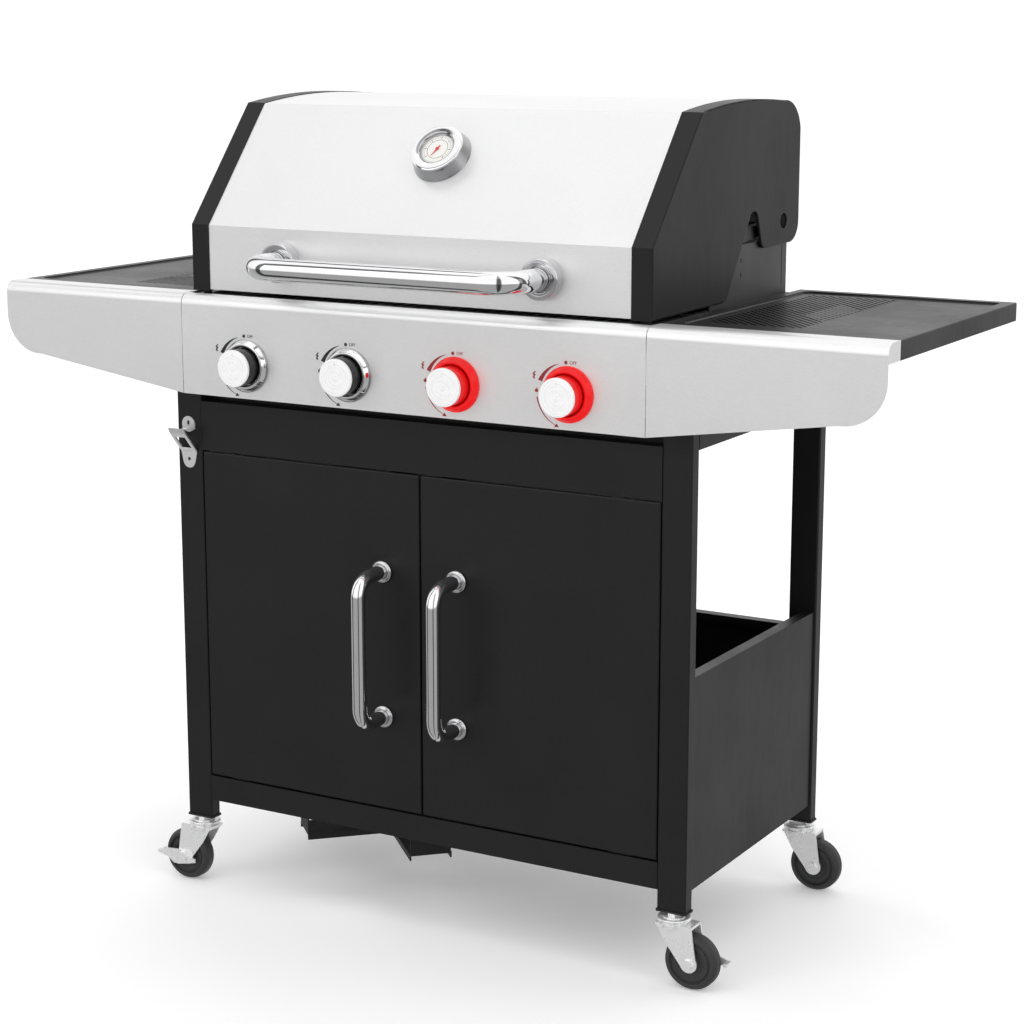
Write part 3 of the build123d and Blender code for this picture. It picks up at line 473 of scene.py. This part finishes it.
def doorHandle(side, values=doorGrip):
    # the same tube stood upright, with a flat collar turned round each foot
    node = "door_handle_" + side
    low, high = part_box(node)
    r = values["radius"]
    x = (low.x + high.x) / 2
    face, barY = high.y, low.y + r
    z0, z1 = low.z + values["collar"] / 1000, high.z - values["collar"] / 1000
    corners = [(x, face, z0), (x, barY, z0), (x, barY, z1), (x, face, z1)]
    give(tube(node + "_tube", corners, values["bend"], r, (1, 0, 0)), side + "_door", chrome, "chrome", node)
    c, d, inner = values["collar"], values["collarDepth"], r * 1000 + 0.05
    profile = softened([(inner, 0), (c, 0), (c, d - 2.2), (c - 1.2, d - 0.7), (c - 2.6, d - 0.4),
                        (c - 3.2, d), (inner + 0.9, d), (inner, d - 0.8)], 0.5, 4, True)
    for z, label in ((z0, "Low"), (z1, "High")):
        collar = turned(node + "_collar" + label, profile, (x, face, z), (0, -1, 0), closed=True, around=56)
        # the collars take the darker chrome: painted shade
        give(collar, side + "_door", shadedCollarChrome, "chrome", node)


lidHandle()
for side in ("left", "right"):
    doorHandle(side)
print("handles made")


# knobs and the rings round them, millimetres
knobShape = {
    "skirt": 25.4, "cap": 25.0, "capDepth": 4.5, "bezel": 36.0, "bore": 27.0,
    "mark": (16.0, 19.5), "markHalf": 0.6,
}


def bezelRing(i, centre, panelFace, finish, slotName, node, values=knobShape):
    # a flat edge and a sloping ring with a stepped bore, each a closed profile turned round the stem
    b, bore = values["bezel"], values["bore"]
    edge = softened([(b - 3, 0), (b, 0), (b, 2.8), (b - 0.8, 3.3), (b - 3, 3.3)], 0.4, 4, True)
    # chrome bezels take their flat edge in the darker chrome: painted shade
    edgeFinish = finish if finish is redGloss else paintedShadeChrome
    foot = (centre.x, panelFace, centre.z)
    skirt = turned(f"bezelEdge{i}", edge, foot, (0, -1, 0), closed=True, around=96)
    give(skirt, "cart", edgeFinish, slotName, node)
    profile = softened([(9, 0), (b - 3, 0), (b - 3, 3.3), (b - 1, 3.35), (b - 1.6, 4.2), (31.4, 9.0),
                        (30.2, 9.9), (28.2, 9.9), (bore, 8.8), (bore, 2.9), (bore - 1, 2.5),
                        (9, 2.5)], 0.4, 4, True)
    ring = turned(f"bezelRing{i}", profile, foot, (0, -1, 0), closed=True, around=96)
    give(ring, "cart", finish, slotName, node)


def knobPieces(i, values=knobShape):
    # a hollow skirt and a spun face turned round the stem's axis, with a short mark near the top
    node = f"knob_{i}"
    low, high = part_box(node)
    centre = (low + high) / 2
    depth = (high.y - low.y) * 1000
    red = i > 2
    skirtFinish = redGloss if red else blackGloss
    slotName = "red_gloss" if red else "black_gloss"
    s, c, d = values["skirt"], values["cap"], values["capDepth"]
    body = f"control_{i}"
    skirt = softened([(4.4, 1), (8, 1), (8, 3), (s - 2, 3), (s - 1.6, 0), (s, 0.4),
                      (s, depth - d - 0.3), (s - 0.8, depth - d), (4.4, depth - d)], 0.4, 4, True)
    back = (centre.x, high.y, centre.z)
    sleeve = turned(f"knobSkirt{i}", skirt, back, (0, -1, 0), closed=True, around=96)
    give(sleeve, body, skirtFinish, slotName, node)
    cap = softened([(0, depth - d + 0.02), (c - 0.5, depth - d + 0.02), (c, depth - d + 0.5),
                    (c, depth - 0.7), (c - 0.8, depth), (c * 0.6, depth), (c * 0.3, depth - 0.05),
                    (0, depth - 0.05)], 0.35, 4)
    face = turned(f"knobFace{i}", cap, back, (0, -1, 0), around=96)
    give(face, body, spunFaceWithGlow, "zinc_plate", node)
    half, (start, end) = values["markHalf"], values["mark"]
    notch = np.array([(-half, start), (half, start), (half, end), (-half, end)]) / 1000
    seat = ((centre.x, low.y, centre.z), np.array([[1, 0, 0], [0, 0, 1], [0, 1, 0]], float))
    mark = slab(f"knobMark{i}", notch, -0.00012, 0.0003, seat)
    give(mark, body, printGrey, "black_gloss", node)


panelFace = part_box("control_panel")[0].y
for i in range(1, 5):
    c = Vector(joints[f"turn_{i}"]["pos_m"])
    if i < 3:
        bezelRing(i, c, panelFace, chrome, "chrome", "bezels_left_pair")
    else:
        bezelRing(i, c, panelFace, redGloss, "red_gloss", "bezels_right_pair")
    knobPieces(i)
print("knobs and bezels made")


# generic marks printed round each knob, metres
printing = {
    "ink": 0.00012, "sunk": 0.00002, "dot": 0.0023, "dotAt": (-0.0035, 0.0400),
    "letters": 0.0057, "bold": 0.00004, "lettersAt": (0.0068, 0.0400),
    "flameAt": (-0.0455, 0.0026), "sparkAt": (-0.0488, 0.0214),
}


def flatOn(panel, x, z):
    # local x to the right, local y up, local z out of the panel
    return (x, panel, z), np.array([[1, 0, 0], [0, 0, 1], [0, -1, 0]], float)


def circleOutline(x, z, radius, count=24):
    # centre + r cos t across, r sin t up
    t = np.linspace(0, 2 * pi, count, endpoint=False)
    return np.column_stack([x + radius * np.cos(t), z + radius * np.sin(t)])


def crescent(start, end, inner, widths, steps=32):
    # an arc between two angles whose width runs evenly through the given values
    s = np.linspace(0, 1, steps)
    t = np.radians(start + (end - start) * s)
    width = np.interp(s, np.linspace(0, 1, len(widths)), widths)
    inside = np.column_stack([inner * np.cos(t), inner * np.sin(t)])
    outside = np.column_stack([(inner + width) * np.cos(t), (inner + width) * np.sin(t)])
    return np.concatenate([inside, outside[::-1]])


def offText(panel, x, z, size, depth, name):
    # flat letters turned into a mesh first, then stood on the panel
    words = bpy.data.curves.new(name, "FONT")
    words.body = "OFF"
    words.align_x = "CENTER"
    words.align_y = "CENTER"
    words.size = size
    words.offset = printing["bold"]
    words.extrude = depth / 2
    holder = bpy.data.objects.new(name, words)
    bpy.context.scene.collection.objects.link(holder)
    bpy.context.view_layer.update()
    mesh = bpy.data.meshes.new_from_object(holder.evaluated_get(bpy.context.evaluated_depsgraph_get()))
    bpy.data.objects.remove(holder)
    count = len(mesh.vertices)
    co = np.zeros(count * 3, np.float32)
    mesh.vertices.foreach_get("co", co)
    local = co.reshape(-1, 3) + np.array([0, 0, depth / 2])
    origin, basis = flatOn(panel, x, z)
    mesh.vertices.foreach_set("co", (np.array(origin) + local @ basis).astype(np.float32).ravel())
    mesh.materials.clear()
    o = bpy.data.objects.new(name, mesh)
    bpy.context.scene.collection.objects.link(o)
    return o


# outlines in millimetres
flameShape = [(-0.4, -3.2), (1.4, -3.0), (2.6, -1.6), (2.4, 0.2), (1.3, 1.4), (1.2, 3.4), (-0.2, 1.8),
              (-0.8, 0.4), (-1.6, 1.4), (-2.4, -0.6), (-1.9, -2.4)]
sparkShape = [(0.4, 4.8), (2.4, 5.0), (0.4, 1.6), (2.2, 0.4), (0.2, -2.2), (1.4, -3.6), (0.6, -5.0),
              (-0.8, -4.8), (-2.2, -2.2), (-0.6, -0.4), (-2.4, 1.0)]


def printMarks(i, values=printing):
    # dot, two arcs round the knob, a pointer under it, a flame and a spark at its left, and OFF above
    c = Vector(joints[f"turn_{i}"]["pos_m"])
    ink = values["ink"]
    colour, slotName = (printCrimson, "red_gloss") if i > 2 else (printBlack, "black_gloss")
    seat = flatOn(panelFace, c.x, c.z)
    outlines = [
        circleOutline(*values["dotAt"], values["dot"]),
        crescent(110, 160, 0.0398, (0.0004, 0.0032, 0.0060)),
        crescent(188, 248, 0.0438, (0.0020, 0.0016, 0.0012, 0.0005)),
        [(-0.0200, -0.0425), (-0.0130, -0.0425), (-0.0165, -0.0380)],
        np.array(flameShape) / 1000 + values["flameAt"],
        np.array(sparkShape) / 1000 + values["sparkAt"],
    ]
    marks = [slab("mark", outline, -values["sunk"], ink, seat) for outline in outlines]
    give(merged(f"panelMarks{i}", marks), "cart", colour, slotName)
    right, up = values["lettersAt"]
    text = offText(panelFace, c.x + right, c.z + up, values["letters"], ink, f"offMark{i}")
    give(text, "cart", colour, slotName)


for i in range(1, 5):
    printMarks(i)
print("panel printed")


# the lid's rear skin carried a little further down, metres
rearHem = {"sheet": 0.0015, "bottom": 0.918, "top": 0.942}


def lidRearHem(values=rearHem):
    # a flat strip in the plane of the rear skin: x and z are its outline, y its thickness
    low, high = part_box("lid_skin")
    x0, x1, z0, z1 = low.x, high.x, values["bottom"], values["top"]
    seat = ((0, high.y, 0), np.array([[1, 0, 0], [0, 0, 1], [0, -1, 0]], float))
    hem = slab("lidRearHem", [(x0, z0), (x1, z0), (x1, z1), (x0, z1)], 0, values["sheet"], seat)
    give(hem, "lid", steel, "brushed_steel")


lidRearHem()
print("rear hem made")


# dial thermometer on the lid, millimetres and degrees
gauge = {
    "foot": 41.5, "rim": 36.0, "glass": 24.0, "height": 20.0, "dialDepth": 4.0, "pivotHeight": 17.0,
    "scale": (225, -45), "ticks": 31, "longEvery": 5, "tickEnd": 20.0, "coldEnd": 155,
    "longTick": (16.8, 0.42), "shortTick": (18.0, 0.20), "rings": ((21.4, 21.7), (14.6, 15.1)),
}
handShape = [(-0.8, -6.0), (0.8, -6.0), (0.7, 5.0), (0.2, 13.0), (-0.2, 13.0), (-0.7, 5.0)]


def gaugeSeat(values=gauge):
    # local x is level, local y runs up the lid, local z comes out of it
    joint = joints["temperature"]
    out = -np.array(joint["axis"], float)
    origin = np.array(joint["pos_m"], float) - out * values["pivotHeight"] / 1000
    up = np.array([0, 0, 1.0]) - out * out[2]
    up /= np.linalg.norm(up)
    return origin, np.stack([np.cross(up, out), up, out])


def gaugeCase(origin, out, floor, values=gauge):
    # four turned profiles: the sloping side, the rim, the well and the dial on its floor; the side and the well
    # are in darker chrome, painted shade
    f, r, g, h = values["foot"], values["rim"], values["glass"], values["height"]
    side = softened([(r - 3, 0.02), (f, 0.02), (f, 0.8), (f - 0.6, 1.6), (r + 1.1, h - 2.4),
                     (r - 3, h - 2.4)], 0.5, 4, True)
    rim = softened([(r - 3, h - 2.42), (r + 1.1, h - 2.4), (r + 0.4, h - 0.8), (r - 1.0, h),
                    (g + 1.6, h - 0.1), (g + 1.2, h - 2.42)], 0.5, 4, True)
    well = softened([(g + 1.6, h - 0.3), (g + 0.4, h - 1.2), (g, h - 1.8), (g, floor + 1.2),
                     (g - 1.2, floor + 1.0), (g - 1.4, floor), (0, floor), (0, floor - 1),
                     (g + 1.6, floor - 1)], 0.3, 4)
    for label, profile, finish, closed in (
            ("Side", side, paintedShadeChrome, True), ("Rim", rim, chrome, True), ("Well", well, paintedShadeChrome, False)):
        ring = turned("thermometer" + label, profile, origin, out, closed=closed, around=112)
        give(ring, "lid", finish, "chrome", "thermometer_case")
    dial, low, high = g - 1.5, floor + 0.02, floor + 0.35
    card = turned("thermometerDial", [(0, low), (dial, low), (dial, high), (0, high)], origin, out, around=96)
    give(card, "lid", dialCard, "chrome")


def gaugeMarks(origin, basis, floor, values=gauge):
    # ticks stand evenly round the scale, some longer, between two thin printed rings
    top = (floor + 0.36) / 1000
    end = values["tickEnd"]
    marks = []
    for k, angle in enumerate(np.linspace(*values["scale"], values["ticks"])):
        t = radians(angle)
        way, across = np.array([cos(t), sin(t)]), np.array([-sin(t), cos(t)])
        start, half = values["shortTick"] if k % values["longEvery"] else values["longTick"]
        outline = np.array([way * start - across * half, way * end - across * half,
                            way * end + across * half, way * start + across * half]) / 1000
        marks.append(slab("tick", outline, top, top + 0.00008, (origin, basis)))
    low, high = floor + 0.3, floor + 0.44
    for inner, outer in values["rings"]:
        ring = [(inner, low), (outer, low), (outer, high), (inner, high)]
        marks.append(turned("ring", ring, origin, basis[2], closed=True, around=96))
    give(merged("thermometerTicks", marks), "lid", printBlack, "black_gloss")


def gaugeHand(origin, basis, floor, values=gauge):
    # a pointed strip turned to the scale's cold end, under a turned hub
    low = (floor + 1.2) / 1000
    tilt = radians(values["coldEnd"])
    turn = np.array([[cos(tilt), sin(tilt)], [-sin(tilt), cos(tilt)]])
    hand = slab("hand", np.array(handShape) / 1000 @ turn, low, low + 0.0005, (origin, basis))
    cap = softened([(0, floor + 1.0), (2.4, floor + 1.0), (2.4, floor + 2.1), (1.8, floor + 2.5),
                    (0, floor + 2.5)], 0.3, 3)
    hub = turned("hub", cap, origin, basis[2], around=32)
    give(merged("thermometerHand", [hand, hub]), "needle", printRed, "needle_red", "thermometer_needle")


def thermometer(values=gauge):
    origin, basis = gaugeSeat()
    floor = values["height"] - values["dialDepth"]
    gaugeCase(origin, basis[2], floor)
    gaugeMarks(origin, basis, floor)
    gaugeHand(origin, basis, floor)


thermometer()
print("thermometer made")


# moulded wheels, millimetres
rollerShape = {"tread": 37.5, "half": 12.0, "hub": 10.0, "hubHalf": 12.7}


def roller(corner, values=rollerShape):
    # half a profile from bore to tread, mirrored about the middle and turned round the axle
    p = joints["roll_" + corner]["pos_m"]
    r, w, hub, hw = values["tread"], values["half"], values["hub"], values["hubHalf"]
    right = [(4.05, hw), (hub - 0.8, hw), (hub, hw - 0.8), (hub + 0.4, 8.6), (13, 8.0), (19, 8.6),
             (19.6, 9.4), (26, 9.4), (26.6, 8.4), (28.2, 8.4), (28.8, w - 0.6), (30, w),
             (32.8, w - 0.2), (r - 1.4, w - 3.6), (r, w - 7)]
    whole = right + [(a, -b) for a, b in right[::-1]]
    piece = turned("roller_" + corner, softened(whole, 0.8, 4, True), p, (0, 1, 0), closed=True, around=96)
    give(piece, "roller_" + corner, tyreRubber, "wheel_rubber", "wheel_" + corner)


for corner in ("front_left", "front_right", "rear_left", "rear_right"):
    roller(corner)
print("casters made")


# wires of the upper rack, metres
rackShape = {
    "wire": 0.0018, "rail": 0.003, "railShare": 0.8, "wires": 36, "edge": 0.006,
    "plate": (0.002, 0.004), "rise": 0.012,
}


def rod(name, start, end, radius, around=12):
    # a closed cylinder between two points
    start, end = np.array(start, float), np.array(end, float)
    length = np.linalg.norm(end - start) * 1000
    r = radius * 1000
    return turned(name, [(0, 0), (r, 0), (r, length), (0, length)], start, end - start, around=around)


def warmingRack(values=rackShape):
    # two rails, wires spaced evenly across them, and an upright plate at each end
    low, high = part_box("warming_rack")
    wire, rail = values["wire"], values["rail"]
    front, rear = low.y + rail, high.y - rail
    x0, x1 = low.x + values["edge"], high.x - values["edge"]
    z = high.z - rail
    thick = rail * values["railShare"]
    pieces = [rod("rail", (low.x, y, z), (high.x, y, z), thick, 20) for y in (front, rear)]
    near, far = values["plate"]
    outline = [(low.y, low.z), (high.y, low.z + values["rise"]), (high.y, high.z), (low.y, high.z)]
    upright = ((0, 0, 0), np.array([[0, 1, 0], [0, 0, 1], [1, 0, 0]], float))
    for a, b in ((low.x + near, low.x + far), (high.x - far, high.x - near)):
        pieces.append(slab("endPlate", outline, a, b, upright))
    for x in np.linspace(x0, x1, values["wires"] + 1):
        pieces.append(rod("wire", (x, front, z), (x, rear, z), wire))
    # the wires are near-black chrome: painted shade
    give(merged("rackWires", pieces), "cart", shadedRackWire, "chrome", "warming_rack")


warmingRack()
print("warming rack made")


# pale floor, soft sky and weak area lights
studio = {
    "floor": (0.96, 0.96, 0.96), "floorGlow": 0.22, "floorHalf": 9.0, "floorNear": -7.0,
    "front": 1.22, "back": 0.98, "zenith": 1.16, "lowFront": 0.40, "lowBack": 0.62, "seen": 1.05,
    "strip": 0.12, "stripEdge": 3, "strips": ((34, 5), (-58, 7), (98, 9), (-120, 6)),
    "aim": (0, 0, 0.6),
    "lamps": (  # name, place, size and power
        ("key", (-2.2, -3.6, 2.9), 2.6, 10),
        ("right", (3.6, -0.8, 2.2), 2.2, 4),
        ("top", (0.0, -0.4, 4.0), 3.5, 10)),
}


def softSky(values=studio):
    # brightness rises with height; below the horizon it goes from dark in front to pale behind, and a few
    # narrow upright strips are dark, so that polished parts carry streaks. The eye itself sees plain white.
    world = bpy.data.worlds.new("studio")
    bpy.context.scene.world = world
    world.use_nodes = True
    tree = world.node_tree
    background = tree.nodes["Background"]
    background.inputs["Color"].default_value = (1, 1, 1, 1)
    way = tree.nodes.new("ShaderNodeSeparateXYZ")
    tree.links.new(tree.nodes.new("ShaderNodeTexCoord").outputs["Generated"], way.inputs["Vector"])
    x, y, z = way.outputs
    horizon = remap(tree, y, values["front"], values["back"], -0.4, 0.4)
    rise = remap(tree, z, 0.0, 1.0, 0.05, 0.7)
    upper = arithmetic(tree, "ADD", product(tree, horizon, arithmetic(tree, "SUBTRACT", 1.0, rise)),
                       arithmetic(tree, "MULTIPLY", rise, values["zenith"]))
    lower = remap(tree, y, values["lowFront"], values["lowBack"], -0.3, 0.5)
    lift = remap(tree, z, 0.0, 1.0, -0.08, 0.04)
    light = arithmetic(tree, "ADD", product(tree, upper, lift),
                       product(tree, lower, arithmetic(tree, "SUBTRACT", 1.0, lift)))
    heading = arithmetic(tree, "ARCTAN2", x, arithmetic(tree, "MULTIPLY", y, -1.0))
    for centre, half in values["strips"]:
        away = arithmetic(tree, "ABSOLUTE", arithmetic(tree, "SUBTRACT", heading, radians(centre)), 0.0)
        dim = remap(tree, away, values["strip"], 1.0, radians(half), radians(half + values["stripEdge"]))
        light = product(tree, light, dim)
    direct = tree.nodes.new("ShaderNodeLightPath").outputs["Is Camera Ray"]
    seen = arithmetic(tree, "MULTIPLY", direct, values["seen"])
    unseen = product(tree, light, arithmetic(tree, "SUBTRACT", 1.0, direct))
    tree.links.new(arithmetic(tree, "ADD", seen, unseen), background.inputs["Strength"])


def studioSet(values=studio):
    # one large level quad under the soft sky, and area lamps that face the object's middle
    side, near = values["floorHalf"], values["floorNear"]
    points = np.array([[(x, y, 0) for y in (near, side)] for x in (-side, side)], float)
    ground = surface("ground", points)
    material, tree, shader = startMaterial("pale floor", roughness=0.8, colour=values["floor"])
    shader.inputs["Emission Color"].default_value = (1, 1, 1, 1)
    shader.inputs["Emission Strength"].default_value = values["floorGlow"]
    ground.data.materials.append(material)
    ground.visible_glossy = False
    softSky()
    for name, place, size, power in values["lamps"]:
        light = bpy.data.lights.new(name, "AREA")
        light.size = size
        light.energy = power
        o = bpy.data.objects.new(name, light)
        o.location = place
        o.rotation_euler = (Vector(values["aim"]) - Vector(place)).to_track_quat("-Z", "Y").to_euler()
        bpy.context.scene.collection.objects.link(o)
    bpy.context.scene.view_settings.view_transform = "Standard"


shot = {"lens": 82.73, "from": (1.6341, -2.7554, 1.2372), "to": (0.0134, 0.0620, 0.5520)}


def camera(values=shot):
    # stands at one point and looks at another, level from side to side
    data = bpy.data.cameras.new("camera")
    data.lens = values["lens"]
    data.sensor_width = 36
    data.clip_end = 60
    o = bpy.data.objects.new("camera", data)
    o.location = values["from"]
    o.rotation_euler = (Vector(values["to"]) - Vector(values["from"])).to_track_quat("-Z", "Y").to_euler()
    bpy.context.scene.collection.objects.link(o)
    bpy.context.scene.camera = o


studioSet()
camera()
print("studio set")
